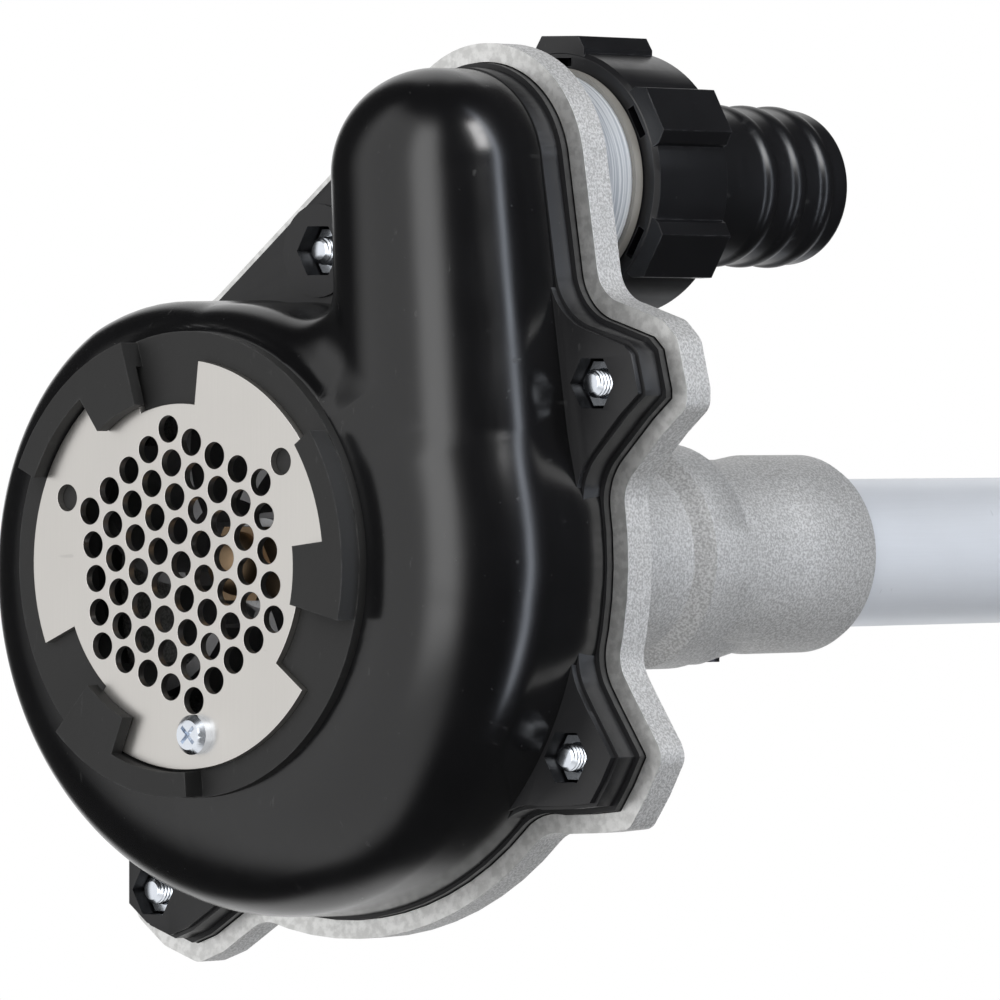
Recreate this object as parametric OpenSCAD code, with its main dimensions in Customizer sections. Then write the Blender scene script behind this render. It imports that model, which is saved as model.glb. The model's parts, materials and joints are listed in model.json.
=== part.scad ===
// Centrifugal water pump head on the lower half of a split drive tube.
// The pump axis runs along Y. The strainer faces -Y, the drive tube leaves along +Y, and the
// outlet stands up along +Z. Lengths are millimetres.
// Inside the modules, y = 0 is the machined front face of the back plate's rim. placed() then
// moves everything so that the origin is the centre of the drive tube's free end.

/* [Volute] */
// Radius of the volute where it is widest
volute_r = 66.5; // [60:0.5:80]
// How much smaller the volute is at its tongue
volute_rise = 19.5; // [14:0.5:24]
// Depth of the cover in front of the back plate's rim
cover_depth = 36.4; // [30:0.2:46]
// Wall of the moulded cover
cover_wall = 3.2; // [2.4:0.1:4]
// Radius of the tower at its top
tower_r = 18.5; // [15:0.5:22]
// Radius of the tower at its foot, where it leaves the volute
tower_foot_r = 21; // [17:0.5:24]
// How much further forward the tower's foot stands than its top
tower_lean = 5.2; // [0:0.2:10]
// Distance from the pump axis across to the outlet
outlet_x = 35.7; // [30:0.1:46]
// Height of the outlet above the pump axis
outlet_z = 67.6; // [64:0.1:90]

/* [Inlet] */
// Pitch of the strainer's holes
strainer_pitch = 6; // [5:0.1:6.2]
// Diameter of the strainer's holes
strainer_hole_d = 4.7; // [3.5:0.1:4.8]
// Radius of the strainer plate
strainer_r = 36; // [35.5:0.1:40]
// Thickness of the strainer plate
strainer_t = 1.5; // [1:0.1:2.5]
// Radius of the inlet's bore, behind the strainer
inlet_r = 27.5; // [24:0.1:27.5]
// Width of the bayonet ring around the strainer plate
ring_w = 5; // [4:0.1:7]
// Height that the bayonet ring's seat stands off the cover
ring_h = 2.3; // [2:0.1:9]

/* [Back plate] */
// Width of the machined rim around the cover
rim_w = 3.3; // [2.5:0.1:5]
// Depth of the tray that the cover sits in
tray_depth = 3; // [2:0.1:4]
// Thickness of the plate behind the tray
plate_t = 3.3; // [3:0.1:6]
// Outer radius of the neck
neck_r = 18; // [17.5:0.1:22]
// Distance from the rim's face to the neck's end
neck_end = 91.8; // [90:0.1:112]
// Extra radius of the collar at the neck's end
neck_collar = 2.9; // [1.5:0.1:4]
// Length of the collar at the neck's end
neck_collar_len = 12.5; // [8:0.1:16]

/* [Drive tube] */
// Radius of the drive tube
tube_r = 14; // [12:0.1:16]
// Wall of the drive tube
tube_wall = 1.6; // [1.2:0.1:2.5]
// Length of drive tube in view behind its socket
tube_length = 300; // [150:5:800]
// Length of the socket behind the neck
socket_length = 39; // [30:0.5:50]
// Radius of the drive shaft
drive_r = 4; // [3.5:0.1:4.5]
// Length of drive shaft that stands out of the tube's free end
drive_stub = 15; // [10:0.5:25]
// Radius of the locating hole near the tube's free end
locator_r = 3.5; // [2.5:0.1:5]

/* [Bearings and shaft] */
// Radius of the pump shaft
shaft_r = 6; // [5:0.1:6]
// Outer radius of each bearing
bearing_r = 14; // [13:0.1:14]
// Width of each bearing
bearing_w = 8; // [7:0.5:8]
// Number of balls in each bearing
ball_count = 8; // [7:1:9]
// Radius of the impeller
impeller_r = 39; // [30:0.5:39]
// Number of impeller blades
blade_count = 6; // [4:1:7]

/* [Outlet] */
// Radius of the machined outlet collar
collar_r = 19.5; // [18.5:0.1:22]
// Length of the machined outlet collar
collar_len = 10.8; // [8:0.1:16]
// Radius of the hose tail's bore
outlet_bore_r = 11.8; // [9:0.1:12]
// Radius of the hose tail
tail_r = 14.1; // [13.8:0.1:17]
// Length of hose tail in view behind the nut
tail_length = 44.5; // [36:0.5:60]
// Radius of the nut's body
nut_r = 23.5; // [22.5:0.1:28]
// Length of the nut
nut_len = 20; // [18:0.5:26]
// Height of the nut's wings
wing_h = 2.4; // [1:0.1:5]

/* [Fasteners] */
// Radius of the cover screws
screw_r = 2.5; // [2:0.1:2.5]
// Width across the flats of the cover nuts
nut_af = 8; // [7:0.1:8.2]
// Height of the cover nuts
nut_h = 4; // [3:0.1:5]

/* [Hidden] */

eps = 0.01;
round_fn = 96;
hull_fn = 32;
running_gap = 0.05;     // radial clearance of a running fit
loose_gap = 0.3;        // clearance between pieces that must not touch
thread_gap = 0.02;      // clearance of a nut's bore on its screw

// Volute: angles run anticlockwise from +X, seen from the strainer's side.
tongue_a = 95;
tongue_edge_r = 10;     // radius of the cover's front edge at the tongue
spiral_a = 90;          // angle in which the spiral covers all but 1/e of its rise
step_a = 9;             // angle between the volute's sections
edge_steps = 8;         // facets round the cover's front edge
core_r = 10;            // inner radius of the volute's swept body
core_inset = 1;         // how far the turned body inside it stays below its skin
seat_depth = 6;         // depth of the flat seat under the bayonet ring
draft = 0.5;            // how far the cover's flank leans in towards the front
cover_ledge = 0.6;      // step between the cover's flank and its outline
tower_ledge = 1.2;      // the same step beside the tower
dome_rise = 0.9;        // height of the tower's dome centre above the outlet's axis
cover_foot = 1;         // gap under the cover that the gasket fills
rim_gap = 0.2;          // gap between the cover's outline and the rim
rear_y = tray_depth - cover_foot;
outline_round = 3;      // radius of the plate outline's outer corners
outline_fillet = 7;     // radius of its inner corners
tower_outline = tower_r + tower_ledge + rim_w + rim_gap;
tower_foot_a = 10;      // where the tower's outer side leaves the volute
web_a = 122;            // where the web beside the tower leaves the volute

// Cover lugs: the angle of each bolt, its distance out from the volute, and the corners of
// the plate's outline around it, each as [outwards, anticlockwise] from the bolt.
LUGS = [
    [87, 5.2, []],
    [25.4, 5, [[-8, 18], [6.1, 12.8], [13.7, 5.7], [15.4, 1.2], [13.7, -7.3], [12.2, -10.4],
        [5.5, -12.2], [-8, -17]]],
    [331.3, 1, [[-8, 20], [2.9, 14], [12, 9.3], [14, 7.6], [14, 0.2], [13.3, -7],
        [7.3, -11.2], [-3, -17.5]]],
    [237.4, 5, [[-7.3, 20], [3.5, 14.9], [8.7, 10.9], [10.8, 2.3], [10.1, -6.5], [-6.5, -17.1]]],
    [155.9, 1.5, [[-9, 17.5], [7.7, 12.2], [13.2, 5.9], [15.6, -1.8], [11, -10], [-9, -18.9]]]
];
lug_front = 7.2;        // how far the lugs stand in front of the rim
lug_bevel = 1.3;        // height of the step round their front face
lug_inset = 0.9;        // how far their side wall stands in from the outline
lip_front = 1.5;        // how far the cover's outline stands in front of the rim
pocket_gap = 0.35;      // clearance around each nut in its pocket
nut_depth = 3;          // depth of a nut's face in its pocket
web_boss_r = 8.3;       // round boss beside the tower
web_boss_h = 0.6;       // how far it stands in front of the lugs

// Inlet
ring_r = strainer_r + ring_w;
collar_out = ring_r + 0.5;  // radius of the cover's collar under the bayonet ring
front_y = -cover_depth;
seat_y = front_y - ring_h;
hook_h = 4.3;           // height of the bayonet hooks over the seat
hook_gap = 0.2;         // gap between the hooks and the strainer plate
hook_in_r = 29.3;       // radius that the hooks reach in to
hook_a = 107;           // where the first hook starts
hook_sweep = 20;
hook_wall_sweep = 48.5;
hook_wall = 4.6;        // wall of the hooks' outer part
hook_inset = 0.2;       // how far the hooks' outer part stands in from the seat's edge
notch_a = 83.4;
notch_sweep = 26.6;
notch_r = 28.3;
lattice_a = -22.66;     // direction of the strainer's rows of holes
fixing_r = 30;
fixing_a = 37.34;
strainer_screw_r = 1.9;
strainer_head_r = 3.5;
strainer_head_h = 2.4;
inlet_spigot_wall = 3;
inlet_spigot_len = 4;

// Shaft line, from the front
nut_y = -19;            // back of the impeller's nut
nut_hex_h = 6;
nut_hex_af = 13;
thread_r = 4;
impeller_bore_r = 5;
impeller_washer_h = 1.5;
hub_front = nut_y + impeller_washer_h;
hub_rear = 2;
hub_r = 9;
shroud_front = -1.5;
shroud_rear = 0.5;
blade_front = -27;
blade_t = 2.4;
blade_curve_r = 24;
key_w = 3;
key_len = 10;
seal_pocket_r = 14.5;
seal_face_y = 20.5;     // where the carbon ring runs on the seat
seal_seat_r = 9;
seal_seat_h = 6;
seal_cup_r = 11.5;
seal_floor_y = 27;
carbon_h = 4;
bore_y = 30;            // front end of the bearing bore
oil_seal_h = 6.8;
clip_h = 0.8;
clip_depth = 0.4;
bearing_y = [38, 62];
ball_r = 2.381;
ball_gap = 0.069;
pitch_r = (shaft_r + bearing_r) / 2;
ring_shoulder = 1.4;    // how far each ring's edge is from the pitch circle
shaft_end = 82;

// Neck, socket and tube
socket_fit_r = tube_r + 2;
socket_spigot_len = 11.4;
socket_r = tube_r + 3.8;
socket_end_r = tube_r + 4.6;
socket_front = neck_end;
socket_rear = neck_end + socket_length;
tube_front = neck_end + 4.2;
seat_step = 0.3;        // how much the tube is turned down where it sits in the socket
tube_end = socket_rear + tube_length;
clamp_y = neck_end + 9.7;
clamp_pad_r = 9.5;
clamp_pad_z = tube_r + 6.3;
clamp_screw_r = 3;
clamp_sunk = 0.5;       // how deep the locating screw is sunk in its pad
coupler_r = 8.5;
drive_front = shaft_end + 2;
coupler_front = shaft_end - 8;
coupler_rear = drive_front + 12;
spline_len = 12;
spline_teeth = 7;
spline_depth = 0.5;
bushing_len = 19;
bushing_pitch = 110;
locator_back = 25;      // distance of the locating hole from the tube's free end

// Back plate
plate_rear = tray_depth + plate_t;
rib_w = 3.5;
rib_reach = 46;
rib_h = 30;

// Outlet
collar_end = plate_rear + collar_len;
seal_ring_h = 1.9;
male_r = collar_r - 0.3;
male_end = collar_end + 13.9;
port_r = 14;
nut_front = collar_end + seal_ring_h + 0.3;
nut_rear = nut_front + nut_len;
lip_h = 3.7;
washer_h = 2;
tail_flange_r = male_r - 0.4;
tail_neck_r = tail_r + 1.5;
tail_end = nut_rear + tail_length;
wing_half = 4.3;        // half the width of a wing's top
wing_flank = 1.4;       // how much wider a wing is at its shoulders, on each side
slot_w = 1.5;
slot_len = 5.9;
slot_depth = 6;
ridge_h = 0.6;
ridge_w = 1.6;
ridge_pitch = 7.75;
ridge_count = 3;
tail_plain = 5.6;       // plain length at the hose tail's end

// --- Helpers ---------------------------------------------------------------------------

module placed() {
    translate([0, -tube_end, 0]) children();
}

// An outline in X and Z, made solid from y0 to y1.
module slab(y0, y1) {
    translate([0, y1, 0]) rotate([90, 0, 0]) linear_extrude(y1 - y0) children();
}

// A profile of [radius, y] points, turned about the pump axis.
module turned(points) {
    rotate([-90, 0, 0]) rotate_extrude($fn = round_fn) polygon(points);
}

// A rod along the pump axis from y0 to y1.
module rod(r, y0, y1, sides = round_fn) {
    translate([0, y0, 0]) rotate([-90, 0, 0]) cylinder(r = r, h = y1 - y0, $fn = sides);
}

// A rod with a square-edged bore.
module ring(r_out, r_in, y0, y1) {
    difference() {
        rod(r_out, y0, y1);
        rod(r_in, y0 - 1, y1 + 1);
    }
}

module hex_rod(af, y0, y1) {
    translate([0, y0, 0]) rotate([-90, 0, 0]) cylinder(d = af / cos(30), h = y1 - y0, $fn = 6);
}

// A sector of a ring in X and Z, between two angles under 180 degrees apart.
module sector(r_out, r_in, a0, a1) {
    far = r_out / cos((a1 - a0) / 2) + 1;
    intersection() {
        difference() {
            circle(r_out, $fn = round_fn);
            circle(r_in, $fn = round_fn);
        }
        polygon([[0, 0], far * [cos(a0), sin(a0)], far * [cos((a0 + a1) / 2), sin((a0 + a1) / 2)],
            far * [cos(a1), sin(a1)]]);
    }
}

module at_outlet() {
    translate([outlet_x, 0, outlet_z]) children();
}

module at_bolts() {
    for (lug = LUGS) translate([bolt_at(lug)[0], 0, bolt_at(lug)[1]]) children();
}

// --- Volute and plate outlines -----------------------------------------------------------

// Radius of the volute's outline: it grows quickly at the tongue and levels out.
function volute_at(a) =
    volute_r - volute_rise * exp(-max(a - tongue_a, 0) / spiral_a);

// Radius of the cover's front edge: all that is left outside the inlet's collar, but no less
// than at the tongue and no more than the radius of the tower's foot.
function edge_at(a) =
    max(min(volute_at(a) - cover_ledge - draft - collar_out, tower_foot_r), tongue_edge_r);

function turn_of(a) = a < tongue_a - 10 ? a + 360 : a;

function bolt_at(lug) =
    (volute_at(turn_of(lug[0])) + rim_w + lug[1]) * [cos(lug[0]), sin(lug[0])];

function around(lug, p) =
    bolt_at(lug) + [p[0] * cos(lug[0]) - p[1] * sin(lug[0]), p[0] * sin(lug[0]) + p[1] * cos(lug[0])];

module plate_outline() {
    grow = rim_w + rim_gap;
    offset(r = -outline_fillet, $fn = 64) offset(r = outline_fillet + outline_round, $fn = 64)
    offset(delta = -outline_round) {
        polygon([for (a = [tongue_a:5:360 + tower_foot_a])
            (volute_at(a) + grow) * [cos(a), sin(a)]]);
        hull() {
            translate([outlet_x, outlet_z + dome_rise]) circle(tower_outline, $fn = round_fn);
            for (a = [web_a, 360 + tower_foot_a])
                translate((volute_at(a) + grow - 1) * [cos(a), sin(a)]) circle(1, $fn = 16);
        }
        for (lug = LUGS) if (len(lug[2]) > 0) polygon([for (p = lug[2]) around(lug, p)]);
    }
}

module cover_outline(inset = 0) {
    offset(delta = -rim_w - rim_gap - inset) plate_outline();
}

// --- Volute cover ------------------------------------------------------------------------

// Section of the volute at one angle, as [radius, y], with a round front edge.
function volute_section(core, r, edge, front, back) = concat(
    [[core, back], [r, back]],
    [for (t = [0:90 / edge_steps:90])
        [r - draft - edge + edge * cos(t), front + edge - edge * sin(t)]],
    [[core, front]]);

function volute_ring(a, inset, back) = [
    for (p = volute_section(core_r, volute_at(a) - cover_ledge - inset, edge_at(a) - inset,
        front_y + inset, back))
        [p[0] * cos(a), p[1], p[0] * sin(a)]];

// Volute body: the tongue's section turned all the way round the pump axis, and from the
// tongue round to the foot of the tower one whose radius and front edge grow.
module volute_body(inset, back) {
    rings = [for (a = [tongue_a - 7 * step_a:step_a:360 + step_a]) volute_ring(a, inset, back)];
    n = len(rings[0]);
    polyhedron(
        points = [for (row = rings) for (p = row) p],
        faces = concat([[for (j = [n - 1:-1:0]) j]],
            [for (i = [0:len(rings) - 2], j = [0:n - 1])
                let (k = (j + 1) % n)
                [i * n + j, i * n + k, (i + 1) * n + k, (i + 1) * n + j]],
            [[for (j = [0:n - 1]) (len(rings) - 1) * n + j]]));
    turned(volute_section(0, volute_at(tongue_a) - cover_ledge - inset - core_inset,
        edge_at(tongue_a) - inset, front_y + inset + core_inset, back));
}

// Where the tower's centre line is at its foot, level with the pump axis.
tower_foot_x = volute_at(360) - cover_ledge - draft - tower_foot_r;

// A ball on a stub, at a share of the way up the tower.
module tower_ball(share, inset, back) {
    x = tower_foot_x + (outlet_x - tower_foot_x) * share;
    r = tower_foot_r + (tower_r - tower_foot_r) * share;
    y = front_y + tower_lean * share + r;
    translate([x, y, (outlet_z + dome_rise) * share]) {
        sphere(r - inset, $fn = hull_fn);
        rotate([-90, 0, 0]) cylinder(r = r - inset, h = back - y, $fn = hull_fn);
    }
}

module tower_body(inset, back) {
    for (k = [0:2]) hull() {
        tower_ball(k / 3, inset, back);
        tower_ball((k + 1) / 3, inset, back);
    }
}

module volute_cover() {
    pocket_floor = -lug_front + nut_depth + nut_h;
    color([0.05, 0.05, 0.055]) placed() difference() {
        union() {
            volute_body(0, rear_y);
            tower_body(0, rear_y);
            rod(collar_out, front_y, front_y + seat_depth);
            slab(-lip_front, rear_y) cover_outline();
            slab(-lug_front + lug_bevel, rear_y) cover_outline(lug_inset);
            slab(-lug_front, rear_y) cover_outline(lug_inset + lug_bevel / 2);
            translate([bolt_at(LUGS[0])[0], 0, bolt_at(LUGS[0])[1]])
                rod(web_boss_r, -lug_front - web_boss_h, rear_y, hull_fn);
        }
        difference() {
            union() {
                volute_body(cover_wall, rear_y + 1);
                tower_body(cover_wall, rear_y + 1);
            }
            at_bolts() rod(nut_af * 0.6 + cover_wall, -lug_front - 0.1, rear_y + 1, hull_fn);
        }
        rod(inlet_r + inlet_spigot_wall, front_y - 1, front_y + seat_depth + 1);
        at_bolts() {
            rod(screw_r + loose_gap, -lug_front - 2, rear_y + 1, hull_fn);
            hex_rod(nut_af + 2 * pocket_gap, front_y, pocket_floor);
        }
        rod(3 * volute_r, rear_y, rear_y + 2 * tower_foot_r, hull_fn);
    }
}

module cover_screws() {
    color([0.75, 0.77, 0.8]) placed() at_bolts() {
        rod(screw_r, -lug_front - 0.4, plate_rear + screw_r);
        difference() {
            rod(2 * screw_r, plate_rear + 1, plate_rear + 1 + 1.5 * screw_r);
            hex_rod(1.2 * screw_r, plate_rear + 1 + 0.75 * screw_r, plate_rear + 2 + 1.5 * screw_r);
        }
    }
}

module cover_nuts() {
    color([0.75, 0.77, 0.8]) placed() at_bolts() difference() {
        hex_rod(nut_af, -lug_front + nut_depth, -lug_front + nut_depth + nut_h);
        rod(screw_r + thread_gap, -lug_front, rear_y);
    }
}

module cover_washers() {
    color([0.75, 0.77, 0.8]) placed() at_bolts()
        ring(2 * screw_r, screw_r + thread_gap, plate_rear, plate_rear + 1);
}

module cover_gasket() {
    color([0.12, 0.12, 0.12]) placed() difference() {
        slab(rear_y, tray_depth) difference() {
            cover_outline(loose_gap);
            chamber_outline();
        }
        at_bolts() rod(screw_r + loose_gap, rear_y - 1, tray_depth + 1);
    }
}

// Outline of the chamber where the cover meets the gasket, with a little to spare.
module chamber_outline() {
    wall = cover_wall + cover_ledge - 0.5;
    polygon([for (a = [tongue_a - 7 * step_a:step_a:360])
        (volute_at(a) - wall) * [cos(a), sin(a)]]);
    hull() {
        translate([outlet_x, outlet_z]) circle(tower_r - wall, $fn = round_fn);
        translate([tower_foot_x, 0]) circle(tower_foot_r - wall, $fn = round_fn);
    }
}

// --- Inlet -------------------------------------------------------------------------------

module inlet_ring() {
    color([0.09, 0.09, 0.09]) placed() difference() {
        union() {
            ring(ring_r, inlet_r, seat_y, front_y);
            ring(inlet_r + inlet_spigot_wall, inlet_r, front_y - eps, front_y + inlet_spigot_len);
            for (k = [0:2]) rotate([0, -120 * k, 0]) hook();
        }
        at_strainer_screw() rod(strainer_screw_r + thread_gap, seat_y - 1, front_y + 1);
    }
}

// One bayonet hook: an outer wall, and a tongue that reaches in over the strainer plate.
module hook() {
    slab(seat_y - hook_h, front_y - 0.5)
        sector(ring_r - hook_inset, ring_r - hook_wall, hook_a, hook_a + hook_wall_sweep);
    slab(seat_y - hook_h, seat_y - strainer_t - hook_gap)
        sector(ring_r - 1, hook_in_r, hook_a, hook_a + hook_sweep);
}

// Points of the strainer's hexagonal field of holes.
function lattice(i, j) = strainer_pitch
    * (i * [cos(lattice_a), sin(lattice_a)] + j * [cos(lattice_a + 60), sin(lattice_a + 60)]);

module fixing_points() {
    for (k = [0:2]) rotate(fixing_a + 120 * k) translate([fixing_r, 0]) children();
}

module at_strainer_screw() {
    a = fixing_a - 120;
    translate([fixing_r * cos(a), 0, fixing_r * sin(a)]) children();
}

module strainer_plate() {
    color([0.72, 0.71, 0.68]) placed() slab(seat_y - strainer_t, seat_y) difference() {
        circle(strainer_r, $fn = round_fn);
        for (k = [0:2])
            sector(strainer_r + 1, notch_r, notch_a + 120 * k, notch_a + notch_sweep + 120 * k);
        for (i = [-4:4], j = [-4:4]) if (abs(i + j) <= 4)
            translate(lattice(i, j)) circle(d = strainer_hole_d, $fn = 32);
        fixing_points() circle(d = strainer_hole_d, $fn = 32);
    }
}

module strainer_screw() {
    top = seat_y - strainer_t;
    color([0.78, 0.79, 0.82]) placed() at_strainer_screw()
        difference() {
            union() {
                rod(strainer_screw_r, top - 1, front_y);
                turned([[0, top], [strainer_head_r, top], [strainer_head_r, top - 1.4],
                    [2.6, top - strainer_head_h], [0, top - strainer_head_h]]);
            }
            for (q = [45, 135]) rotate([0, q, 0])
                translate([-2, top - strainer_head_h - 1, -0.35]) cube([4, 2.2, 0.7]);
        }
}

// --- Back plate --------------------------------------------------------------------------

module back_plate() {
    color([0.66, 0.65, 0.64]) placed() difference() {
        union() {
            slab(0, plate_rear) plate_outline();
            turned([[0, plate_rear - 1], [neck_r + 14, plate_rear - 1], [neck_r + 14, plate_rear + 2],
                [neck_r + 5, plate_rear + 5], [neck_r + 1.5, plate_rear + 10],
                [neck_r, plate_rear + 18], [neck_r, neck_end - neck_collar_len - 1.5],
                [neck_r + neck_collar - 1.5, neck_end - neck_collar_len],
                [neck_r + neck_collar, neck_end - neck_collar_len + 1.5],
                [neck_r + neck_collar, neck_end - 1.5], [neck_r + neck_collar - 1.2, neck_end],
                [0, neck_end]]);
            at_outlet() rod(collar_r, plate_rear - 1, collar_end);
            at_outlet() rod(male_r, collar_end - 1, male_end);
            for (a = [20:60:320]) rotate([0, -a, 0]) rib();
        }
        slab(-1, tray_depth) offset(delta = rim_gap) cover_outline();
        at_outlet() rod(port_r, 0, male_end + 1);
        at_bolts() rod(screw_r + loose_gap, 0, plate_rear + 1);
        rod(seal_pocket_r, 0, seal_face_y + 0.5);
        rod(seal_cup_r, seal_face_y, seal_floor_y);
        rod(shaft_r + 1.5, seal_floor_y - 1, bore_y + 1);
        rod(bearing_r, bore_y, neck_end + 1);
        rod(bearing_r + clip_h, bearing_y[1] + bearing_w, bearing_y[1] + bearing_w + clip_h + 0.2);
        rod(socket_fit_r + running_gap, neck_end - socket_spigot_len - loose_gap, neck_end + 1);
    }
}

// A web between the plate and the neck.
module rib() {
    translate([0, 0, -rib_w / 2]) linear_extrude(rib_w)
        polygon([[neck_r - 2, plate_rear - 1], [rib_reach, plate_rear - 1],
            [rib_reach, plate_rear + 1], [neck_r - 2, plate_rear + rib_h]]);
}

// --- Outlet ------------------------------------------------------------------------------

module outlet_seal_ring() {
    color([0.82, 0.79, 0.72]) placed() at_outlet()
        ring(collar_r + 0.8, male_r, collar_end, collar_end + seal_ring_h);
}

module outlet_nut() {
    color([0.06, 0.06, 0.065]) placed() at_outlet() difference() {
        union() {
            turned([[0, nut_front], [nut_r - 0.8, nut_front], [nut_r, nut_front + 0.8],
                [nut_r, nut_rear - 1], [nut_r - 1, nut_rear], [0, nut_rear]]);
            for (k = [0:5]) rotate([0, -29 - 60 * k, 0]) wing();
        }
        rod(male_r + running_gap, nut_front - 1, nut_rear - lip_h);
        rod(tail_neck_r + running_gap, nut_front, nut_rear + 1);
        for (k = [0:5]) rotate([0, -29 - 60 * k, 0]) slot();
    }
}

// One of the nut's wings, with a slot in its front face that a spanner's pin fits.
module wing() {
    top = nut_r + wing_h;
    shoulder = wing_half + wing_flank;
    slab(nut_front + 0.2, nut_rear - 1.2) polygon([[nut_r - 2.5, -shoulder],
        [nut_r + wing_h * 0.1, -shoulder], [top, -wing_half], [top, wing_half],
        [nut_r + wing_h * 0.1, shoulder], [nut_r - 2.5, shoulder]]);
}

module slot() {
    translate([male_r + running_gap + 2 - slot_w / 2, nut_front - 1, -slot_len / 2])
        cube([slot_w, 1 + slot_depth, slot_len]);
}

module hose_tail() {
    color([0.06, 0.06, 0.065]) placed() at_outlet() difference() {
        union() {
            rod(tail_flange_r, male_end + washer_h, nut_rear - lip_h - running_gap * 2);
            rod(tail_neck_r, male_end + washer_h, nut_rear + 0.5);
            rod(tail_r, nut_rear, tail_end - 1);
            rod(tail_r - 0.6, nut_rear, tail_end);
            for (k = [0:ridge_count - 1]) ridge(tail_end - tail_plain - ridge_w / 2 - k * ridge_pitch);
        }
        rod(outlet_bore_r, male_end, tail_end + 1);
    }
}

// A low round rib around the hose tail.
module ridge(y) {
    turned([[tail_r - 1, y - ridge_w], [tail_r, y - ridge_w], [tail_r + ridge_h, y - ridge_w / 3],
        [tail_r + ridge_h, y + ridge_w / 3], [tail_r, y + ridge_w], [tail_r - 1, y + ridge_w]]);
}

module tail_washer() {
    color([0.1, 0.1, 0.1]) placed() at_outlet()
        ring(tail_flange_r, port_r, male_end, male_end + washer_h);
}

// --- Impeller ----------------------------------------------------------------------------

module impeller() {
    color([0.4, 0.41, 0.42]) placed() difference() {
        union() {
            rod(impeller_r, shroud_front, shroud_rear);
            rod(hub_r, hub_front, hub_rear);
            slab(blade_front, shroud_front + eps) intersection() {
                circle(impeller_r, $fn = round_fn);
                for (k = [0:blade_count - 1]) rotate(k * 360 / blade_count) blade();
            }
        }
        rod(impeller_bore_r, hub_front - 1, hub_rear + 1);
        rod(hub_r + 2.5, blade_front - 1, hub_front);
        keyway();
    }
}

// A blade that curves back from the hub, as an arc.
module blade() {
    translate([hub_r + 14, 0]) intersection() {
        difference() {
            circle(blade_curve_r, $fn = round_fn);
            circle(blade_curve_r - blade_t, $fn = round_fn);
        }
        translate([-hub_r - 14, 0]) square([impeller_r + hub_r, blade_curve_r + 1]);
    }
}

module keyway() {
    translate([-key_w / 2, hub_front + 2, impeller_bore_r - key_w / 2])
        cube([key_w, key_len, key_w]);
}

module shaft_key() {
    color([0.5, 0.5, 0.52]) placed() keyway();
}

module impeller_washer() {
    color([0.7, 0.7, 0.72]) placed() ring(hub_r - 1, thread_r + thread_gap, nut_y, hub_front);
}

module impeller_nut() {
    color([0.72, 0.5, 0.25]) placed() difference() {
        union() {
            hex_rod(nut_hex_af, nut_y - nut_hex_h, nut_y);
            translate([0, nut_y - nut_hex_h, 0]) intersection() {
                sphere(nut_hex_af / 2 - 0.8, $fn = 48);
                translate([-10, -10, -10]) cube([20, 10 + eps, 20]);
            }
        }
        rod(thread_r + thread_gap, nut_y - nut_hex_h - 1, nut_y + 1);
    }
}

module pump_shaft() {
    color([0.7, 0.71, 0.73]) placed() difference() {
        union() {
            rod(thread_r, nut_y - nut_hex_h, hub_front + 0.5);
            rod(impeller_bore_r, hub_front, hub_rear);
            rod(shaft_r, hub_rear, shaft_end);
        }
        keyway();
        for (y = clip_places) ring(shaft_r + 1, shaft_r - clip_depth, y, y + clip_h);
    }
}

// --- Shaft seal --------------------------------------------------------------------------

module seal_bellows() {
    front = seal_face_y - running_gap - carbon_h;
    color([0.13, 0.13, 0.13]) placed() turned([[shaft_r, hub_rear], [seal_seat_r - 0.3, hub_rear],
        [seal_seat_r - 0.3, hub_rear + 1.5], [shaft_r + 1.5, hub_rear + 3], [shaft_r + 1.5, front - 3],
        [seal_seat_r - 0.3, front - 1.5], [seal_seat_r - 0.3, front], [shaft_r, front]]);
}

// Coil spring around the bellows, swept along a helix with an eight-sided wire.
module seal_spring() {
    wire_r = 0.7;
    coil_r = seal_seat_r + 1.2;
    low = hub_rear + wire_r + 0.3;
    high = seal_face_y - running_gap - wire_r - 0.3;
    turns = 4;
    steps = 24 * turns;
    sides = 8;
    rings = [for (i = [0:steps]) let (a = 360 * turns * i / steps, y = low + (high - low) * i / steps)
        [for (j = [0:sides - 1]) let (b = 360 * j / sides, r = coil_r + wire_r * cos(b))
            [r * cos(a), y + wire_r * sin(b), -r * sin(a)]]];
    color([0.7, 0.71, 0.73]) placed() polyhedron(
        points = [for (row = rings) for (p = row) p],
        faces = concat([[for (j = [0:sides - 1]) j]],
            [for (i = [0:steps - 1], j = [0:sides - 1])
                let (k = (j + 1) % sides)
                [i * sides + j, (i + 1) * sides + j, (i + 1) * sides + k, i * sides + k]],
            [[for (j = [sides - 1:-1:0]) steps * sides + j]]));
}

module seal_carbon_ring() {
    color([0.16, 0.16, 0.17]) placed()
        ring(seal_seat_r, shaft_r, seal_face_y - running_gap - carbon_h, seal_face_y - running_gap);
}

module seal_seat() {
    color([0.9, 0.88, 0.82]) placed()
        ring(seal_seat_r, shaft_r + 0.5, seal_face_y, seal_face_y + seal_seat_h);
}

module seal_cup() {
    color([0.1, 0.1, 0.1]) placed() difference() {
        rod(seal_cup_r, seal_face_y + 0.5, seal_floor_y);
        rod(seal_seat_r, seal_face_y, seal_face_y + seal_seat_h);
        rod(shaft_r + 1, seal_face_y, seal_floor_y + 1);
    }
}

module oil_seal() {
    color([0.12, 0.12, 0.12]) placed() turned([[shaft_r + running_gap, bore_y + 0.5],
        [bearing_r, bore_y + 0.5], [bearing_r, bore_y + 0.5 + oil_seal_h],
        [bearing_r - 1.5, bore_y + 0.5 + oil_seal_h], [bearing_r - 1.5, bore_y + 2.5],
        [shaft_r + 2, bore_y + 2.5], [shaft_r + 2, bore_y + 5], [shaft_r + running_gap, bore_y + 5]]);
}

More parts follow.
